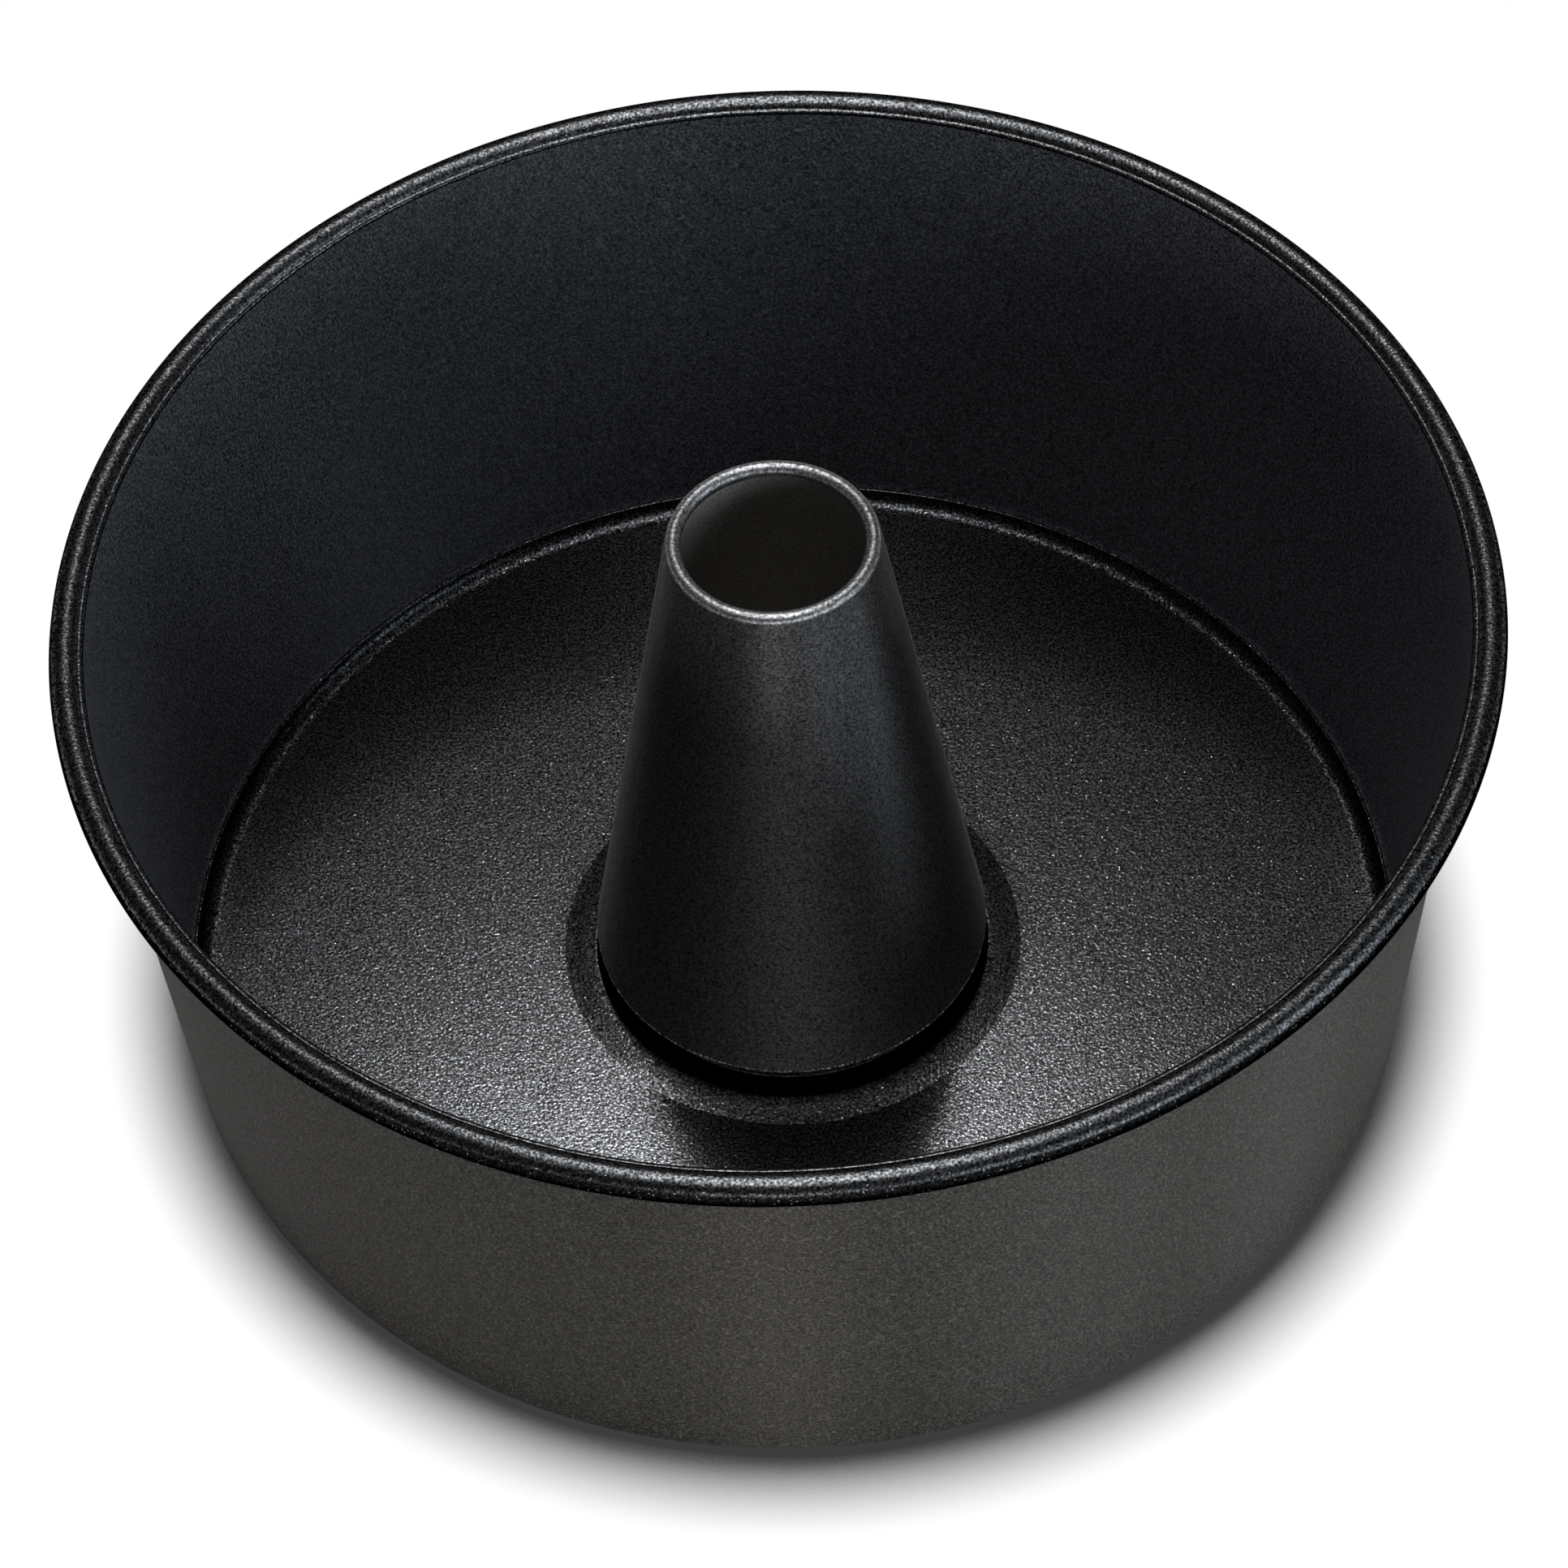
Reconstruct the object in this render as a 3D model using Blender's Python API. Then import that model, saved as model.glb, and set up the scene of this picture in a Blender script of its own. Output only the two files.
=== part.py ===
"""Ring cake pan with a loose bottom: a tapered pan body with a wire-rolled rim, and a
round base plate that carries the conical centre tube and lifts out of the body.

Every piece is turned from sheet about the Z axis. The pan stands on z = 0, and its axis is
x = y = 0. Lengths are in metres.
"""

import math

import bmesh
import bpy
from mathutils import Matrix, Vector

MM = 0.001

# Sheet metal and the clearances between pieces that seat on each other
SHEET = 0.8 * MM
SEAT_GAP = 0.3 * MM
WIRE_GAP = 0.4 * MM

# Pan body: the wall is measured on its outer face, carried down to the table
WALL_FOOT_RADIUS = 113.1 * MM
WALL_TAPER = math.radians(5.0)
BODY_HEIGHT = 100.0 * MM
CORNER_RADIUS = 5.5 * MM
LEDGE_WIDTH = 7.0 * MM

# Rolled rim: the wall turns out over a round shoulder to a crease, where the bead starts; the
# bead goes over the wire and ends under it, short of the wall
WIRE_RADIUS = 1.75 * MM
BEAD_STANDOFF = 2.86 * MM
CREASE_ANGLE = math.radians(156.0)
BEAD_END = math.radians(-140.0)
SHOULDER_RISE = 0.25 * MM
SHOULDER_BEND = 0.7 * MM

# Base plate: its edge turns up beside the wall, and a low ring surrounds the hub
LIP_END = math.radians(-25.0)
RING_RISE = 1.7 * MM
RING_WIDTH = 5.1 * MM
RING_CLEARANCE = 1.2 * MM
RING_TOE_BEND = 3.0 * MM
CREST_SLOPE_WIDTH = 1.2 * MM
CREST_BEND = 0.9 * MM
GROOVE_BEND = 0.7 * MM
HUB_BEND = 1.5 * MM
HUB_REACH = 21.6 * MM
HUB_SHOULDER_BEND = 10.0 * MM
HUB_SEAT_LENGTH = 12.0 * MM

# Centre tube: a cone with a raw edge above the ring and an inward curl at its mouth
TUBE_FOOT_RADIUS = 36.2 * MM
TUBE_MOUTH_RADIUS = 18.8 * MM
TUBE_LENGTH = 105.8 * MM
TUBE_LIFT = 7.5 * MM
CURL_BORE_RADIUS = 0.6 * MM
CURL_END = math.radians(255.0)

# Smoothness of the turned surfaces
SEGMENTS = 64
BEAD_STEP = math.radians(28.0)
BEND_STEP = math.radians(22.0)
WIRE_SIDES = 9
SMOOTH_ANGLE = math.radians(40.0)


def clear_scene():
    for obj in list(bpy.data.objects):
        bpy.data.objects.remove(obj, do_unlink=True)


def coated_metal(name, colour, roughness, metallic):
    """A Principled material with a plain colour."""
    material = bpy.data.materials.new(name)
    material.use_nodes = True
    shader = material.node_tree.nodes["Principled BSDF"]
    shader.inputs["Base Color"].default_value = (*colour, 1.0)
    shader.inputs["Roughness"].default_value = roughness
    shader.inputs["Metallic"].default_value = metallic
    material.diffuse_color = (*colour, 1.0)
    return material


def on_circle(centre, radius, angle):
    return centre + radius * Vector((math.cos(angle), math.sin(angle)))


def arc(centre, radius, start, end, step):
    """Points on a circle from one angle to another, at most one step apart."""
    count = max(1, math.ceil(abs(end - start) / step))
    return [on_circle(centre, radius, start + (end - start) * i / count) for i in range(count + 1)]


def bent_path(corners):
    """A path through corners given as (radius, height, bend radius), each bend an arc."""
    places = [Vector(corner[:2]) for corner in corners]
    points = [places[0]]
    for i in range(1, len(corners) - 1):
        before = (places[i - 1] - places[i]).normalized()
        after = (places[i + 1] - places[i]).normalized()
        bend = corners[i][2]
        half = before.angle(after) / 2
        centre = places[i] + (before + after).normalized() * (bend / math.sin(half))
        first = places[i] + before * (bend / math.tan(half)) - centre
        last = places[i] + after * (bend / math.tan(half)) - centre
        start = math.atan2(first.y, first.x)
        turn = math.remainder(math.atan2(last.y, last.x) - start, math.tau)
        points += arc(centre, bend, start, start + turn, BEND_STEP)
    points.append(places[-1])
    return points


def sheet_section(path, thickness):
    """The closed outline of a sheet whose middle follows the path."""
    left = []
    right = []
    for i, point in enumerate(path):
        arriving = (point - path[max(i - 1, 0)]).normalized()
        leaving = (path[min(i + 1, len(path) - 1)] - point).normalized()
        ahead = (arriving + leaving).normalized()
        reach = thickness / 2 / max(ahead.dot(arriving), ahead.dot(leaving))
        across = reach * Vector((-ahead.y, ahead.x))
        left.append(point + across)
        right.append(point - across)
    return left + right[::-1]


def turned(name, section, material):
    """A solid of revolution about Z from a closed outline of (radius, height) points."""
    shape = bmesh.new()
    ring = [shape.verts.new((point.x, 0.0, point.y)) for point in section]
    edges = [shape.edges.new((ring[i - 1], ring[i])) for i in range(len(ring))]
    bmesh.ops.spin(
        shape,
        geom=ring + edges,
        cent=(0.0, 0.0, 0.0),
        axis=(0.0, 0.0, 1.0),
        angle=math.tau,
        steps=SEGMENTS,
        use_merge=True,
    )
    bmesh.ops.recalc_face_normals(shape, faces=shape.faces)
    mesh = bpy.data.meshes.new(name)
    shape.to_mesh(mesh)
    shape.free()
    mesh.materials.append(material)
    mesh.shade_smooth()
    mesh.set_sharp_from_angle(angle=SMOOTH_ANGLE)
    obj = bpy.data.objects.new(name, mesh)
    bpy.context.scene.collection.objects.link(obj)
    return obj


def wall_middle(height):
    """Radius of the middle of the body's wall at a height above the table."""
    outer = WALL_FOOT_RADIUS + height * math.tan(WALL_TAPER)
    return outer - SHEET / 2 / math.cos(WALL_TAPER)


def corner_centre():
    """Centre of the body's bottom corner bend, which the plate's lip shares."""
    outer = WALL_FOOT_RADIUS + CORNER_RADIUS * math.tan(WALL_TAPER)
    return Vector((outer - CORNER_RADIUS / math.cos(WALL_TAPER), CORNER_RADIUS))


def bead_middle_radius():
    """Radius of the middle of the sheet where it wraps the rim wire."""
    return WIRE_RADIUS + WIRE_GAP + SHEET / 2


def bead_centre():
    """Centre of the round bead, which stands out from the wall."""
    height = BODY_HEIGHT - bead_middle_radius() - SHEET / 2
    return Vector((wall_middle(height) + BEAD_STANDOFF, height))


def floor_middle():
    """Height of the middle of the base plate where it lies on the body's ledge."""
    return SHEET + SEAT_GAP + SHEET / 2


def tube_foot_height():
    return floor_middle() + SHEET / 2 + TUBE_LIFT


def curl_centre():
    """Centre of the round curl at the tube's mouth."""
    radius = CURL_BORE_RADIUS + SHEET
    return Vector((TUBE_MOUTH_RADIUS - radius, tube_foot_height() + TUBE_LENGTH - radius))


def tube_taper():
    """Half angle of the tube's cone, from its foot to the curl at its mouth."""
    rise = curl_centre().y - tube_foot_height()
    return math.atan((TUBE_FOOT_RADIUS - TUBE_MOUTH_RADIUS) / rise)


def hub_middle(height):
    """Radius of the middle of the hub's seat, just inside the tube at a height."""
    tube_outer = TUBE_FOOT_RADIUS - (height - tube_foot_height()) * math.tan(tube_taper())
    return tube_outer - (SHEET + SEAT_GAP + SHEET / 2) / math.cos(tube_taper())


def build_pan_body(material):
    corner = corner_centre()
    crease = on_circle(bead_centre(), bead_middle_radius(), CREASE_ANGLE)
    ledge = Vector((corner.x - LEDGE_WIDTH, SHEET / 2))
    bend = arc(corner, CORNER_RADIUS - SHEET / 2, math.radians(-90.0), -WALL_TAPER, BEND_STEP)
    shoulder = crease.y - SHOULDER_RISE
    wall = bent_path([
        (bend[-1].x, bend[-1].y, 0.0),
        (wall_middle(shoulder), shoulder, SHOULDER_BEND),
        (crease.x, crease.y, 0.0),
    ])
    bead = arc(bead_centre(), bead_middle_radius(), CREASE_ANGLE, BEAD_END, BEAD_STEP)
    return turned("pan_body", sheet_section([ledge] + bend + wall[1:] + bead[1:], SHEET), material)


def build_rim_wire(material):
    section = arc(bead_centre(), WIRE_RADIUS, 0.0, math.tau, math.tau / WIRE_SIDES)
    return turned("rim_wire", section[1:], material)


def build_base_plate(material):
    floor = floor_middle()
    corner = corner_centre()
    crest_radius = TUBE_FOOT_RADIUS + RING_CLEARANCE
    hub_meets_tube = tube_foot_height() + HUB_REACH
    hub_top = hub_meets_tube + HUB_SEAT_LENGTH
    lip = arc(corner, corner.y - floor, LIP_END, math.radians(-90.0), BEND_STEP)
    middle = bent_path([
        (corner.x, floor, 0.0),
        (crest_radius + RING_WIDTH, floor, RING_TOE_BEND),
        (crest_radius, floor + RING_RISE, CREST_BEND),
        (crest_radius - CREST_SLOPE_WIDTH, floor, GROOVE_BEND),
        (hub_middle(hub_meets_tube), floor, HUB_BEND),
        (hub_middle(hub_meets_tube), hub_meets_tube, HUB_SHOULDER_BEND),
        (hub_middle(hub_top), hub_top, 0.0),
    ])
    return turned("base_plate", sheet_section(lip + middle[1:], SHEET), material)


def build_centre_tube(material):
    taper = tube_taper()
    foot = Vector((TUBE_FOOT_RADIUS - SHEET / 2 / math.cos(taper), tube_foot_height()))
    curl = arc(curl_centre(), CURL_BORE_RADIUS + SHEET / 2, taper, CURL_END, BEAD_STEP)
    return turned("centre_tube", sheet_section([foot] + curl, SHEET), material)


def main():
    clear_scene()
    outer_coating = coated_metal("outer_coating", (0.062, 0.058, 0.053), 0.45, 0.4)
    inner_coating = coated_metal("inner_coating", (0.016, 0.018, 0.021), 0.38, 0.3)
    tube_coating = coated_metal("tube_coating", (0.020, 0.021, 0.022), 0.34, 0.3)
    bare_steel = coated_metal("bare_steel", (0.45, 0.45, 0.44), 0.35, 1.0)

    build_pan_body(outer_coating)
    build_rim_wire(bare_steel)
    lift_axis = bpy.data.objects.new("base_lift_axis", None)
    bpy.context.scene.collection.objects.link(lift_axis)
    for piece in (build_base_plate(inner_coating), build_centre_tube(tube_coating)):
        piece.parent = lift_axis
        piece.matrix_parent_inverse = Matrix.Identity(4)


main()
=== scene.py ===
"""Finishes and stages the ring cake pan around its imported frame.

Each CAD piece is replaced by a finely turned one, whose sides carry their own coatings:
near-black towards the cake, warm grey on the back, silvery at the tube's mouth. It has the same
size, apart from a slightly slimmer rim bead and wire and a flatter ring round the tube. Lengths
are in metres, in the frame's own axes: the pan stands on z = 0 and its axis is x = y = 0.
"""
import math

import bmesh
import bpy
from mathutils import Matrix, Vector


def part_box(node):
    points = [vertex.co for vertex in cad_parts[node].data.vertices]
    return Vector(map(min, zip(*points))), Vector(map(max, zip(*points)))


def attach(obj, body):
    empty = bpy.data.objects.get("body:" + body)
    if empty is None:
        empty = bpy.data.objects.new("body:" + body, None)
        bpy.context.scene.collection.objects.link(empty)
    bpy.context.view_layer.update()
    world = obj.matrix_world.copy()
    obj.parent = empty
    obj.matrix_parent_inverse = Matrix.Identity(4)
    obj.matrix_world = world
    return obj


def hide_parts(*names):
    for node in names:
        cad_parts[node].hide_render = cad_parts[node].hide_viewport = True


MM = 0.001

# Sheet and wire
SHEET = 0.8 * MM
SEAT_GAP = 0.3 * MM
WIRE_GAP = 0.4 * MM
WIRE_RADIUS = 1.65 * MM

# Pan body
WALL_TAPER = math.radians(5.0)
CORNER_RADIUS = 5.5 * MM
LEDGE_WIDTH = 7.0 * MM
BEAD_STANDOFF = 2.96 * MM
CREASE_ANGLE = math.radians(150.0)
BEAD_END = math.radians(-140.0)
SHOULDER_HUMP = 0.1 * MM
SHOULDER_BEND = 0.45 * MM

# Base plate
LIP_END = math.radians(-25.0)
RING_RISE = 0.7 * MM
RING_WIDTH = 5.9 * MM
RING_CLEARANCE = 0.4 * MM
RING_TOE_BEND = 1.2 * MM
CREST_SLOPE_WIDTH = 1.0 * MM
CREST_BEND = 0.7 * MM
GROOVE_BEND = 0.7 * MM
HUB_BEND = 1.5 * MM
HUB_REACH = 21.6 * MM
HUB_SHOULDER_BEND = 10.0 * MM
HUB_SEAT_LENGTH = 12.0 * MM

# Centre tube
TUBE_MOUTH_RADIUS = 18.8 * MM
CURL_BORE_RADIUS = 0.6 * MM
CURL_END = math.radians(255.0)
WORN_EDGE = 0.25 * MM

# Smoothness of the turned surfaces
SEGMENTS = 360
BEND_STEP = math.radians(6.0)
STRAIGHT_STEP = 4.0 * MM
EDGE_SIDES = 6
WIRE_SIDES = 24
SHARP_ANGLE = math.radians(40.0)

# Which of a turned sheet's coats is where: on its two sides, along its first edge, and on its
# sides again from the place where they change
LEFT, RIGHT, FIRST_EDGE, LEFT_AFTER, RIGHT_AFTER = range(5)

# Coatings: scales of their noise in cells per metre, how grazing gloss is dimmed, and the
# heights of the surface normal between which the painted shade on a coat's outward and downward
# faces fades from dull black to full gloss
PEEL_SCALE = 1800.0
PEEL_DISTORTION = 0.4
FLAKE_SCALE = 5000.0
GRAIN_SCALE = 2200.0
FLAKE_COLOUR = (0.25, 0.26, 0.28)
DARK_EDGE = (0.08, 0.08, 0.08)
WARM_EDGE = (1.0, 0.95, 0.88)
QUARTER_TURN = 0.25
UNDERSIDE_SHADE_FROM = 0.44
UNDERSIDE_SHADE_TO = 0.62
UNDERSIDE_SHADE_DARKEST = 0.1

# Colour sockets of the mix node, which share their names with the sockets of its other kinds
MIX_COLOUR_A = 6
MIX_COLOUR_B = 7
MIX_COLOUR_RESULT = 2

# Drawn steel of the rim wire
STEEL_COLOUR = (0.5, 0.49, 0.47)
STEEL_STREAK_SCALE = 900.0
STEEL_SMOOTHEST = 0.25
STEEL_ROUGHEST = 0.45

# Floor: its soft contact shadow as the camera sees it, and where it starts to show as white
FLOOR_SIDE = 6.0
FLOOR_COLOUR = (0.85, 0.85, 0.85)
SHADOW_REACH = 16.5 * MM
SHADOW_SAMPLES = 16
SHADOW_DARKEST = 0.047
SHADOW_FULL_AT = 0.5
UNDER_PAN_RADIUS = 107.0 * MM

# Studio: how high above the horizon its white ends, and how dim it is above that
HORIZON_GLOW_FULL = 0.02
HORIZON_GLOW_END = 0.15
STUDIO_DIM = 0.03
LAMP_DISTANCE = 1.2
COOL_LIGHT = (0.85, 0.93, 1.0)

# Camera: where it stands, what it looks at, and the photograph's frame
PHOTO_SIDE = 1932
FOCAL_PIXELS = 7298.0
SENSOR_WIDTH = 36.0
CAMERA_DISTANCE = 1.0719
CAMERA_ELEVATION = math.radians(50.87)
CAMERA_ROLL = math.radians(-2.83)
TARGET_HEIGHT = 0.0474
FRAME_RIGHT_PIXELS = 1.45
FRAME_DOWN_PIXELS = 2.77
CLIP_START = 0.05
CLIP_END = 50.0


def on_circle(centre, radius, angle):
    return centre + radius * Vector((math.cos(angle), math.sin(angle)))


def arc(centre, radius, start, end, step=BEND_STEP):
    """Points on a circle from one angle to another, at most one step apart."""
    count = max(1, math.ceil(abs(end - start) / step))
    return [on_circle(centre, radius, start + (end - start) * i / count) for i in range(count + 1)]


def bent_path(corners):
    """A path through corners given as (radius, height, bend radius), each bend an arc."""
    places = [Vector(corner[:2]) for corner in corners]
    points = [places[0]]
    for i in range(1, len(corners) - 1):
        before = (places[i - 1] - places[i]).normalized()
        after = (places[i + 1] - places[i]).normalized()
        bend = corners[i][2]
        half = before.angle(after) / 2
        centre = places[i] + (before + after).normalized() * (bend / math.sin(half))
        first = places[i] + before * (bend / math.tan(half)) - centre
        last = places[i] + after * (bend / math.tan(half)) - centre
        start = math.atan2(first.y, first.x)
        turn = math.remainder(math.atan2(last.y, last.x) - start, math.tau)
        points += arc(centre, bend, start, start + turn)
    points.append(places[-1])
    return points


def divided(path):
    """The path with points added along its long straight runs."""
    points = [path[0]]
    for point in path[1:]:
        start = points[-1]
        count = max(1, math.ceil((point - start).length / STRAIGHT_STEP))
        points += [start.lerp(point, (i + 1) / count) for i in range(count)]
    return points


def sheet_sides(path):
    """The left and right sides of a sheet whose middle follows the path."""
    left = []
    right = []
    for i, point in enumerate(path):
        arriving = (point - path[max(i - 1, 0)]).normalized()
        leaving = (path[min(i + 1, len(path) - 1)] - point).normalized()
        ahead = (arriving + leaving).normalized()
        reach = SHEET / 2 / max(ahead.dot(arriving), ahead.dot(leaving))
        across = reach * Vector((-ahead.y, ahead.x))
        left.append(point + across)
        right.append(point - across)
    return left, right


def round_edge(first, last):
    """Points on the half circle that rounds a sheet's edge, between its two corners."""
    centre = (first + last) / 2
    start = math.atan2(first.y - centre.y, first.x - centre.x)
    return arc(centre, (first - last).length / 2, start, start - math.pi, math.pi / EDGE_SIDES)[1:-1]


def turned(name, outline, slots, materials):
    """A solid of revolution about Z. slots holds the material of each side of the outline."""
    mesh = bpy.data.meshes.new(name)
    count = len(outline)
    points = []
    for turn in range(SEGMENTS):
        angle = math.tau * turn / SEGMENTS
        points += [(p.x * math.cos(angle), p.x * math.sin(angle), p.y) for p in outline]
    faces = []
    for turn in range(SEGMENTS):
        here = turn * count
        there = (turn + 1) % SEGMENTS * count
        for i in range(count):
            j = (i + 1) % count
            faces.append((here + i, there + i, there + j, here + j))
    mesh.from_pydata(points, [], faces)
    for material in materials:
        mesh.materials.append(material)
    mesh.polygons.foreach_set("material_index", slots * SEGMENTS)
    shape = bmesh.new()
    shape.from_mesh(mesh)
    bmesh.ops.recalc_face_normals(shape, faces=shape.faces)
    shape.to_mesh(mesh)
    shape.free()
    mesh.shade_smooth()
    mesh.set_sharp_from_angle(angle=SHARP_ANGLE)
    obj = bpy.data.objects.new(name, mesh)
    bpy.context.scene.collection.objects.link(obj)
    return obj


def turned_sheet(name, path, coats, change, worn=0):
    """A turned sheet with rounded edges.

    coats holds the materials of its left side, its right side and its first edge, with left on
    the left hand when the path is followed from its first point, and then those of its left and
    right side from the path's point named change on. worn is how many of the path's first runs
    have lost their coating as the first edge has.
    """
    points = divided(path)
    left, right = sheet_sides(points)
    end = round_edge(left[-1], right[-1])
    start = round_edge(right[0], left[0])
    outline = left + end + right[::-1] + start
    first = min(range(len(points)), key=lambda i: (points[i] - change).length)
    left_slots = [LEFT if i < first else LEFT_AFTER for i in range(len(left) - 1)]
    right_slots = [RIGHT if i < first else RIGHT_AFTER for i in range(len(right) - 1)]
    left_slots[:worn] = [FIRST_EDGE] * worn
    right_slots[:worn] = [FIRST_EDGE] * worn
    end_slots = [RIGHT_AFTER] * (len(end) + 1)
    start_slots = [FIRST_EDGE] * (len(start) + 1)
    slots = left_slots + end_slots + right_slots[::-1] + start_slots
    return turned(name, outline, slots, coats)


class Sizes:
    """Places on the pan, read from the frame's own pieces."""

    def __init__(self):
        body_low, body_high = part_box("pan_body")
        tube_low, tube_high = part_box("centre_tube")
        plate_low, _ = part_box("base_plate")
        self.bead_middle = WIRE_RADIUS + WIRE_GAP + SHEET / 2
        self.bead_centre = Vector((
            body_high.x - self.bead_middle - SHEET / 2,
            body_high.z - self.bead_middle - SHEET / 2,
        ))
        self.crease = on_circle(self.bead_centre, self.bead_middle, CREASE_ANGLE)
        self.floor_middle = plate_low.z + SHEET / 2
        foot = self.wall_middle(CORNER_RADIUS)
        middle_radius = CORNER_RADIUS - SHEET / 2
        self.corner = Vector((foot - middle_radius / math.cos(WALL_TAPER), CORNER_RADIUS))
        self.tube_foot = Vector((tube_high.x, tube_low.z))
        curl_radius = CURL_BORE_RADIUS + SHEET
        self.curl_centre = Vector((TUBE_MOUTH_RADIUS - curl_radius, tube_high.z - curl_radius))
        run = self.tube_foot.x - TUBE_MOUTH_RADIUS
        self.tube_taper = math.atan(run / (self.curl_centre.y - self.tube_foot.y))

    def wall_middle(self, height):
        """Radius of the middle of the body's wall at a height above the table."""
        below = self.bead_centre.y - height
        return self.bead_centre.x - BEAD_STANDOFF - below * math.tan(WALL_TAPER)

    def hub_middle(self, height):
        """Radius of the middle of the hub's seat, just inside the tube at a height."""
        outer = self.tube_foot.x - (height - self.tube_foot.y) * math.tan(self.tube_taper)
        return outer - (SHEET + SEAT_GAP + SHEET / 2) / math.cos(self.tube_taper)


def build_pan_body(sizes, coats):
    ledge = Vector((sizes.corner.x - LEDGE_WIDTH, SHEET / 2))
    bend = arc(sizes.corner, CORNER_RADIUS - SHEET / 2, math.radians(-90.0), -WALL_TAPER)
    shoulder = sizes.crease.y + SHOULDER_HUMP
    wall = bent_path([
        (bend[-1].x, bend[-1].y, 0.0),
        (sizes.wall_middle(shoulder), shoulder, SHOULDER_BEND),
        (sizes.crease.x, sizes.crease.y, 0.0),
    ])
    bead = arc(sizes.bead_centre, sizes.bead_middle, CREASE_ANGLE, BEAD_END)
    sides = [coats[key] for key in ("wall", "back", "back", "rim", "back")]
    return turned_sheet("pan_body_coated", [ledge] + bend + wall[1:] + bead[1:], sides, wall[1])


def build_rim_wire(sizes, steel):
    section = arc(sizes.bead_centre, WIRE_RADIUS, 0.0, math.tau, math.tau / WIRE_SIDES)[1:]
    return turned("rim_wire_drawn", section, [0] * len(section), [steel])


def build_base_plate(sizes, coats):
    floor = sizes.floor_middle
    crest_radius = sizes.tube_foot.x + RING_CLEARANCE
    hub_meets_tube = sizes.tube_foot.y + HUB_REACH
    hub_top = hub_meets_tube + HUB_SEAT_LENGTH
    lip = arc(sizes.corner, sizes.corner.y - floor, LIP_END, math.radians(-90.0))
    middle = bent_path([
        (sizes.corner.x, floor, 0.0),
        (crest_radius + RING_WIDTH, floor, RING_TOE_BEND),
        (crest_radius, floor + RING_RISE, CREST_BEND),
        (crest_radius - CREST_SLOPE_WIDTH, floor, GROOVE_BEND),
        (sizes.hub_middle(hub_meets_tube), floor, HUB_BEND),
        (sizes.hub_middle(hub_meets_tube), hub_meets_tube, HUB_SHOULDER_BEND),
        (sizes.hub_middle(hub_top), hub_top, 0.0),
    ])
    sides = [coats[key] for key in ("back", "lip", "lip", "back", "plate")]
    return turned_sheet("base_plate_coated", lip + middle[1:], sides, lip[-1])


def build_centre_tube(sizes, coats):
    taper = sizes.tube_taper
    foot = Vector((sizes.tube_foot.x - SHEET / 2 / math.cos(taper), sizes.tube_foot.y))
    curl = arc(sizes.curl_centre, CURL_BORE_RADIUS + SHEET / 2, taper, CURL_END)
    worn = foot + WORN_EDGE * (curl[0] - foot).normalized()
    sides = [coats[key] for key in ("bore", "tube", "edge", "curl", "curl")]
    return turned_sheet("centre_tube_coated", [foot, worn] + curl, sides, curl[0], worn=1)


class Nodes:
    """A short hand for building a material's node tree."""

    def __init__(self, tree):
        self.tree = tree
        self.tree.nodes.clear()

    def add(self, kind, inputs=None, **settings):
        node = self.tree.nodes.new(kind)
        for key, value in settings.items():
            setattr(node, key, value)
        for key, value in (inputs or {}).items():
            self.put(node.inputs[key], value)
        return node

    def put(self, socket, value):
        if isinstance(value, bpy.types.NodeSocket):
            self.tree.links.new(value, socket)
        else:
            socket.default_value = value

    def math(self, operation, *values):
        node = self.add("ShaderNodeMath", operation=operation)
        for socket, value in zip(node.inputs, values):
            self.put(socket, value)
        return node.outputs[0]

    def ramp(self, value, low, high, at_low, at_high, smooth=False):
        """A value carried from the range low to high over to the range at_low to at_high."""
        node = self.add("ShaderNodeMapRange", {
            "Value": value,
            "From Min": low,
            "From Max": high,
            "To Min": at_low,
            "To Max": at_high,
        }, interpolation_type="SMOOTHSTEP" if smooth else "LINEAR")
        return node.outputs[0]


def new_material(name):
    material = bpy.data.materials.new(name)
    material.use_nodes = True
    return material, Nodes(material.node_tree)


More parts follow.
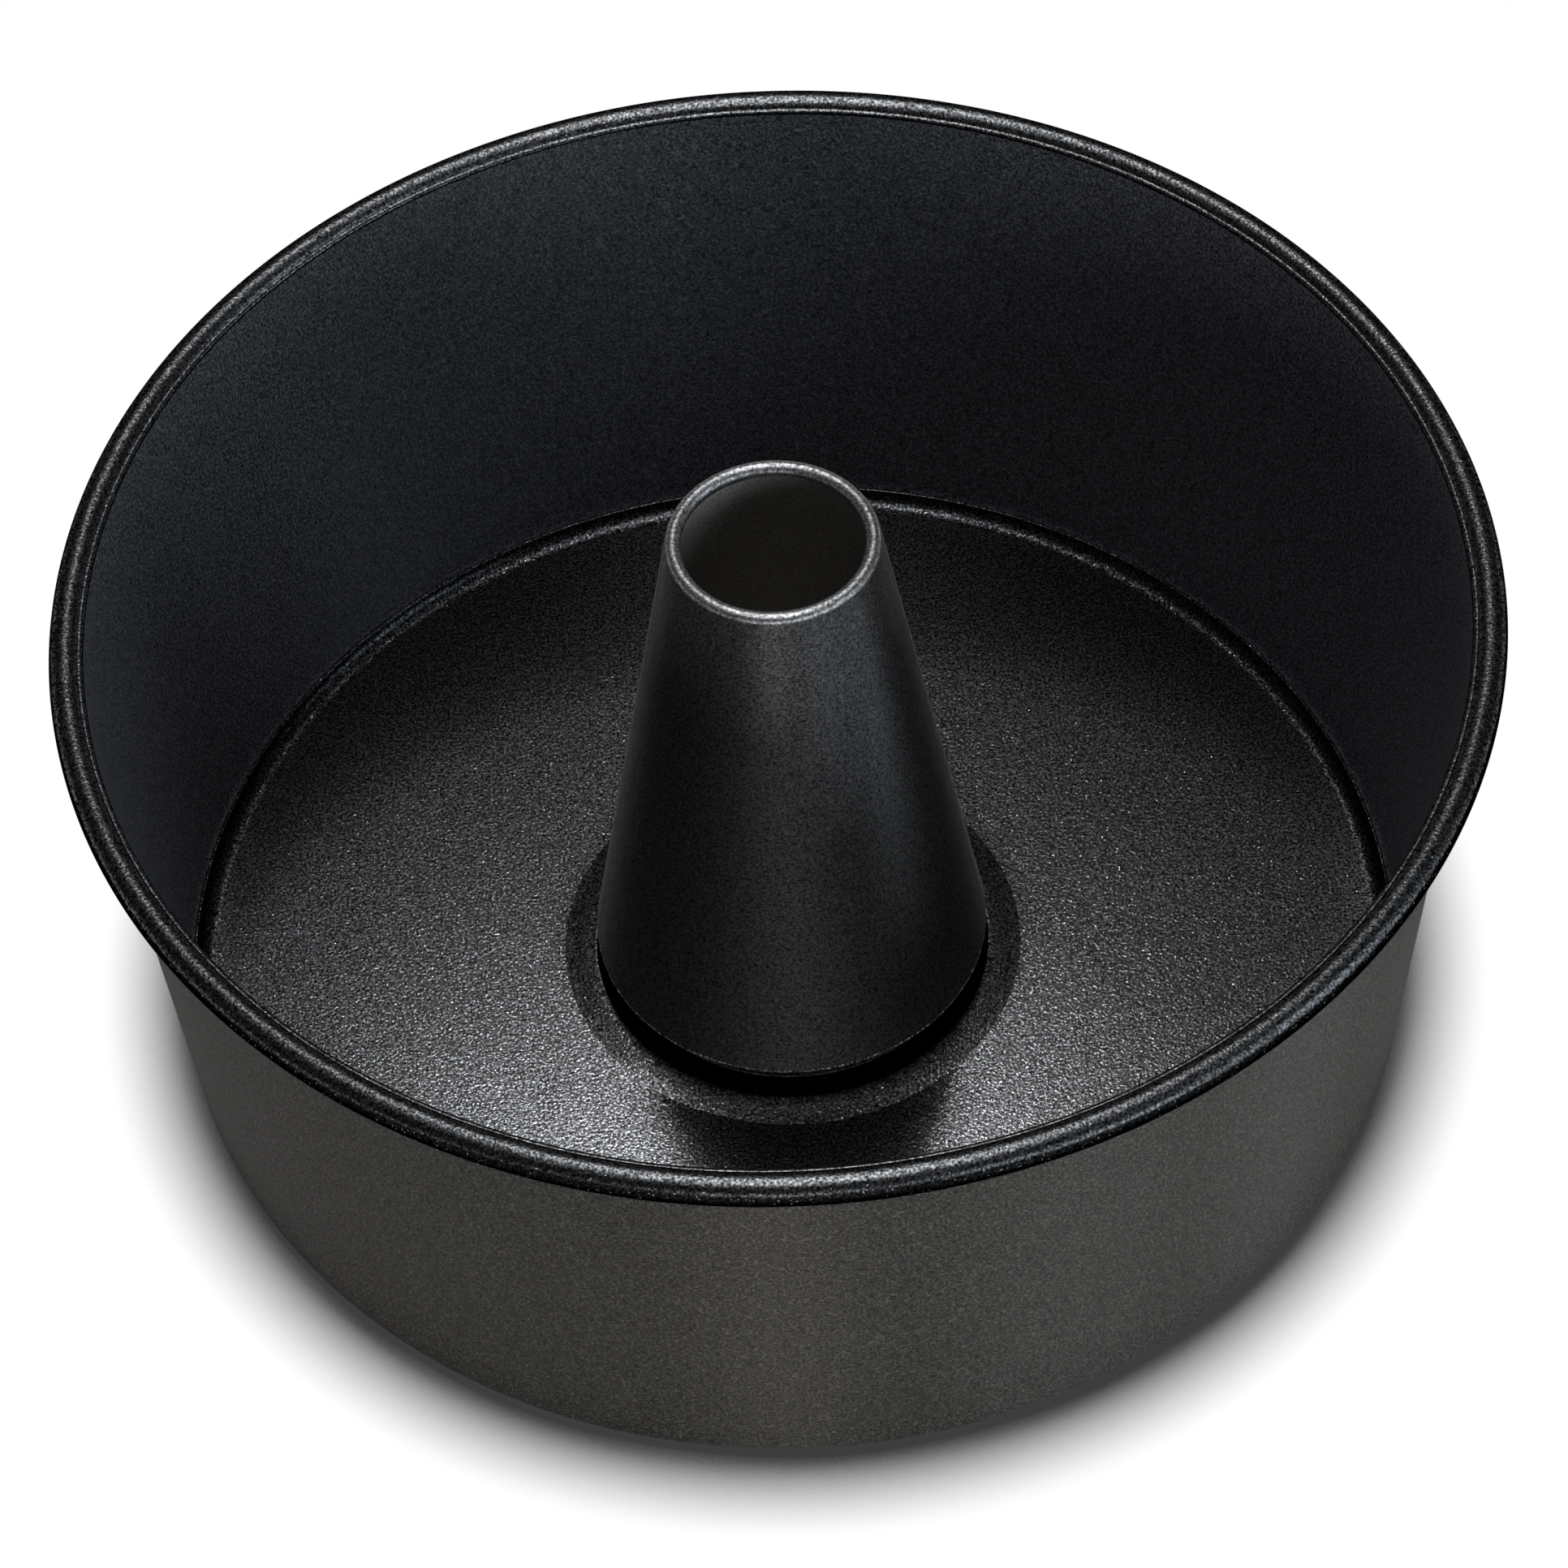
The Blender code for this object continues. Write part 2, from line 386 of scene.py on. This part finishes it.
def coating(name, colour, roughness, edge_tint=(1.0, 1.0, 1.0), metallic=0.0, gloss=0.5,
            peel=0.0, grain=1.5, flakes=0.0, flake_tilt=0.3, spun=0.0, paint_underside_shade=False):
    """A satin coating: orange peel in its gloss, a fine grain in its colour, a few bright flakes.

    peel is the height of the orange peel, grain the power that a noise round 1 is raised to,
    flakes the share of the surface they cover, flake_tilt how far they lean out of it, spun how
    much the gloss is drawn out along the axis by the marks of spinning, and the last flag paints
    shade into the coat: its colour darkens to plain black where the surface turns away from above.
    """
    material, nodes = new_material(name)
    place = nodes.add("ShaderNodeTexCoord").outputs["Object"]
    mottle = nodes.add("ShaderNodeTexNoise", {"Vector": place, "Scale": GRAIN_SCALE, "Detail": 0.0})
    doubled = nodes.math("MULTIPLY", mottle.outputs["Fac"], 2.0)
    speckle = nodes.math("POWER", doubled, grain)
    tint = nodes.add("ShaderNodeVectorMath", {0: colour, "Scale": speckle}, operation="SCALE")
    # Painted shade: the colour darkens to dull black where the surface faces outward or down, which
    # dims its gloss there
    if paint_underside_shade:
        facing_up = nodes.add("ShaderNodeTexCoord").outputs["Normal"]
        height = nodes.add("ShaderNodeSeparateXYZ", {"Vector": facing_up}).outputs["Z"]
        underside_shade = nodes.ramp(height, UNDERSIDE_SHADE_FROM, UNDERSIDE_SHADE_TO, UNDERSIDE_SHADE_DARKEST, 1.0, smooth=True)
        tint = nodes.add("ShaderNodeVectorMath", {0: tint.outputs[0], "Scale": underside_shade},
                         operation="SCALE")
    shader = nodes.add("ShaderNodeBsdfPrincipled", {
        "Base Color": tint.outputs[0],
        "Metallic": metallic,
        "Roughness": roughness,
        "Specular IOR Level": gloss,
        "Specular Tint": (*edge_tint, 1.0),
    })
    if spun:
        shader.inputs["Anisotropic"].default_value = spun
        shader.inputs["Anisotropic Rotation"].default_value = QUARTER_TURN
        nodes.put(shader.inputs["Tangent"], nodes.add("ShaderNodeTangent", axis="Z").outputs[0])
    ripple = nodes.add("ShaderNodeTexNoise", {"Vector": place, "Scale": PEEL_SCALE, "Detail": 1.0,
                                              "Distortion": PEEL_DISTORTION})
    bump = nodes.add("ShaderNodeBump", {"Height": ripple.outputs["Fac"], "Strength": 1.0,
                                        "Distance": peel})
    nodes.put(shader.inputs["Normal"], bump.outputs["Normal"])
    if flakes:
        add_flakes(nodes, shader, place, tint, bump, flakes, flake_tilt)
    nodes.add("ShaderNodeOutputMaterial", {"Surface": shader.outputs[0]})
    return material


def add_flakes(nodes, shader, place, tint, bump, share, tilt):
    """Turns a share of the surface's cells into small metal flakes that lean their own way."""
    cells = nodes.add("ShaderNodeTexVoronoi", {"Vector": place, "Scale": FLAKE_SCALE})
    random = nodes.add("ShaderNodeSeparateColor", {"Color": cells.outputs["Color"]})
    is_flake = nodes.math("LESS_THAN", random.outputs[2], share)
    centred = nodes.add("ShaderNodeVectorMath", {0: cells.outputs["Color"], 1: (0.5, 0.5, 0.5)},
                        operation="SUBTRACT")
    reach = nodes.math("MULTIPLY", is_flake, tilt)
    lean = nodes.add("ShaderNodeVectorMath", {0: centred.outputs[0], "Scale": reach},
                     operation="SCALE")
    tilted = nodes.add("ShaderNodeVectorMath", {0: bump.outputs["Normal"], 1: lean.outputs[0]},
                       operation="ADD")
    facing = nodes.add("ShaderNodeVectorMath", {0: tilted.outputs[0]}, operation="NORMALIZE")
    base = nodes.add("ShaderNodeMix", {
        "Factor": is_flake,
        MIX_COLOUR_A: tint.outputs[0],
        MIX_COLOUR_B: (*FLAKE_COLOUR, 1.0),
    }, data_type="RGBA")
    nodes.put(shader.inputs["Base Color"], base.outputs[MIX_COLOUR_RESULT])
    nodes.put(shader.inputs["Normal"], facing.outputs[0])


def make_coats():
    """The pan's coatings, by where they are."""
    return {
        "wall": coating("wall_coating", (0.055, 0.058, 0.067), roughness=0.42,
                        peel=0.01 * MM, grain=2.0),
        # The rim's coat carries painted shade on the bead's outward and downward faces
        "rim": coating("rim_coating", (0.072, 0.074, 0.077), roughness=0.33,
                       edge_tint=DARK_EDGE, metallic=1.0, peel=0.06 * MM, grain=2.0,
                       flakes=0.01, paint_underside_shade=True),
        "plate": coating("plate_coating", (0.113, 0.115, 0.119), roughness=0.18,
                         edge_tint=DARK_EDGE, metallic=1.0, peel=0.03 * MM, grain=2.4,
                         flakes=0.02, flake_tilt=0.14),
        # Painted shade: the plate's own coat made about four times darker along its lip by the wall,
        # dimming its reflections there
        "lip": coating("lip_painted_shade", (0.03, 0.031, 0.033), roughness=0.3,
                       edge_tint=DARK_EDGE, metallic=1.0, peel=0.03 * MM, grain=3.0,
                       flakes=0.03),
        "tube": coating("tube_coating", (0.112, 0.112, 0.114), roughness=0.75,
                        edge_tint=DARK_EDGE, metallic=1.0, peel=0.01 * MM, grain=1.2,
                        spun=1.0),
        "curl": coating("curl_coating", (0.28, 0.283, 0.29), roughness=0.42,
                        metallic=1.0, peel=0.03 * MM, grain=1.2, flakes=0.02),
        "edge": coating("edge_coating", (0.6, 0.6, 0.6), roughness=0.5,
                        metallic=0.5, peel=0.05 * MM, grain=6.0, flakes=0.15),
        # Painted light: the tube's inside wears the warm back coat about ten times paler, standing
        # in for light that hardly reaches into the bore
        "bore": coating("bore_painted_light", (0.38, 0.36, 0.33), roughness=0.6,
                        gloss=0.1, grain=0.5),
        "back": coating("back_coating", (0.036, 0.0335, 0.0305), roughness=0.6,
                        edge_tint=WARM_EDGE, gloss=0.45, peel=0.01 * MM, grain=2.5,
                        spun=1.0),
    }


def drawn_steel():
    material, nodes = new_material("wire_steel")
    place = nodes.add("ShaderNodeTexCoord").outputs["Object"]
    streaks = nodes.add("ShaderNodeTexNoise", {"Vector": place, "Scale": STEEL_STREAK_SCALE,
                                               "Detail": 3.0})
    roughness = nodes.ramp(streaks.outputs["Fac"], 0.0, 1.0, STEEL_SMOOTHEST, STEEL_ROUGHEST)
    shader = nodes.add("ShaderNodeBsdfPrincipled", {
        "Base Color": (*STEEL_COLOUR, 1.0),
        "Metallic": 1.0,
        "Roughness": roughness,
    })
    nodes.add("ShaderNodeOutputMaterial", {"Surface": shader.outputs[0]})
    return material


def dress_pan():
    sizes = Sizes()
    coats = make_coats()
    pieces = (
        (build_pan_body(sizes, coats), "body", "pan_body", "outer_coating"),
        (build_rim_wire(sizes, drawn_steel()), "body", "rim_wire", "bare_steel"),
        (build_base_plate(sizes, coats), "insert", "base_plate", "inner_coating"),
        (build_centre_tube(sizes, coats), "insert", "centre_tube", "tube_coating"),
    )
    for piece, body, node, slot in pieces:
        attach(piece, body)
        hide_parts(node)


def stage_floor():
    """A pale floor that shows as plain white, with the soft dark edge where the pan stands."""
    mesh = bpy.data.meshes.new("floor")
    corners = [(-FLOOR_SIDE, -FLOOR_SIDE, 0.0), (FLOOR_SIDE, -FLOOR_SIDE, 0.0),
               (FLOOR_SIDE, FLOOR_SIDE, 0.0), (-FLOOR_SIDE, FLOOR_SIDE, 0.0)]
    mesh.from_pydata(corners, [], [(0, 1, 2, 3)])
    floor = bpy.data.objects.new("floor", mesh)
    bpy.context.scene.collection.objects.link(floor)
    material, nodes = new_material("floor_white")
    near = nodes.add("ShaderNodeAmbientOcclusion", {"Distance": SHADOW_REACH},
                     samples=SHADOW_SAMPLES)
    shade = nodes.ramp(near.outputs["AO"], SHADOW_FULL_AT, 1.0, SHADOW_DARKEST, 1.0)
    seen = nodes.add("ShaderNodeEmission", {"Color": shade})
    lit = nodes.add("ShaderNodeBsdfDiffuse", {"Color": (*FLOOR_COLOUR, 1.0)})
    path = nodes.add("ShaderNodeLightPath")
    shown = nodes.math("MAXIMUM", path.outputs["Is Camera Ray"], path.outputs["Is Glossy Ray"])
    shown = nodes.math("MAXIMUM", shown, path.outputs["Is Transmission Ray"])
    place = nodes.add("ShaderNodeTexCoord").outputs["Object"]
    radius = nodes.add("ShaderNodeVectorMath", {0: place}, operation="LENGTH").outputs["Value"]
    outside = nodes.math("GREATER_THAN", radius, UNDER_PAN_RADIUS)
    shown = nodes.math("MULTIPLY", shown, outside)
    mix = nodes.add("ShaderNodeMixShader", {0: shown, 1: lit.outputs[0], 2: seen.outputs[0]})
    nodes.add("ShaderNodeOutputMaterial", {"Surface": mix.outputs[0]})
    mesh.materials.append(material)


def set_world():
    """A studio that is white at the horizon and dim above it, where the lamps do the work."""
    world = bpy.data.worlds.new("studio")
    bpy.context.scene.world = world
    world.use_nodes = True
    nodes = Nodes(world.node_tree)
    direction = nodes.add("ShaderNodeTexCoord").outputs["Generated"]
    height = nodes.add("ShaderNodeSeparateXYZ", {"Vector": direction}).outputs["Z"]
    glow = nodes.ramp(height, HORIZON_GLOW_FULL, HORIZON_GLOW_END, 1.0, STUDIO_DIM, smooth=True)
    background = nodes.add("ShaderNodeBackground", {"Color": glow})
    nodes.add("ShaderNodeOutputWorld", {"Surface": background.outputs[0]})


def softbox(name, azimuth, elevation, width, height, radiance, colour=(1.0, 1.0, 1.0)):
    """A rectangular lamp that looks at the pan from an azimuth and elevation in degrees."""
    azimuth = math.radians(azimuth)
    elevation = math.radians(elevation)
    light = bpy.data.lights.new(name, "AREA")
    light.shape = "RECTANGLE"
    light.size = width
    light.size_y = height
    light.energy = radiance * width * height * math.pi
    light.color = colour
    obj = bpy.data.objects.new(name, light)
    outward = Vector((
        math.cos(elevation) * math.cos(azimuth),
        math.cos(elevation) * math.sin(azimuth),
        math.sin(elevation),
    ))
    obj.location = outward * LAMP_DISTANCE + Vector((0.0, 0.0, TARGET_HEIGHT))
    obj.rotation_euler = (-outward).to_track_quat("-Z", "Y").to_euler()
    obj.visible_camera = False
    bpy.context.scene.collection.objects.link(obj)


def light_stage():
    softbox("overhead", azimuth=92.7, elevation=81.0, width=0.24, height=1.07, radiance=11.8)
    softbox("front_right", azimuth=306.0, elevation=12.0, width=0.6, height=0.42,
            radiance=3.8, colour=COOL_LIGHT)
    softbox("right", azimuth=341.0, elevation=24.0, width=0.4, height=0.6,
            radiance=3.2, colour=COOL_LIGHT)
    softbox("low_front", azimuth=266.0, elevation=5.0, width=0.3, height=0.2, radiance=11.0)


def set_camera():
    data = bpy.data.cameras.new("photo_camera")
    data.sensor_fit = "HORIZONTAL"
    data.sensor_width = SENSOR_WIDTH
    data.lens = FOCAL_PIXELS / PHOTO_SIDE * SENSOR_WIDTH
    data.shift_x = -FRAME_RIGHT_PIXELS / PHOTO_SIDE
    data.shift_y = FRAME_DOWN_PIXELS / PHOTO_SIDE
    data.clip_start = CLIP_START
    data.clip_end = CLIP_END
    camera = bpy.data.objects.new("photo_camera", data)
    bpy.context.scene.collection.objects.link(camera)
    target = Vector((0.0, 0.0, TARGET_HEIGHT))
    back = Vector((0.0, -math.cos(CAMERA_ELEVATION), math.sin(CAMERA_ELEVATION)))
    camera.location = target + CAMERA_DISTANCE * back
    upright = (-back).to_track_quat("-Z", "Y").to_matrix().to_4x4()
    camera.rotation_euler = (upright @ Matrix.Rotation(CAMERA_ROLL, 4, "Z")).to_euler()
    bpy.context.scene.camera = camera


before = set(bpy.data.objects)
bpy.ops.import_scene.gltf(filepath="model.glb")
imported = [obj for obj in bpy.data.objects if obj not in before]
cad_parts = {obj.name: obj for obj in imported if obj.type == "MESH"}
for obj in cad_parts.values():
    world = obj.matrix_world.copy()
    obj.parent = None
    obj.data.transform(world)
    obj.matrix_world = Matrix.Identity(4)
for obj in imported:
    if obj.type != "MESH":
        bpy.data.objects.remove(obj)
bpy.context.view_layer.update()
dress_pan()
stage_floor()
set_world()
light_stage()
set_camera()
bpy.context.scene.view_settings.view_transform = "Standard"
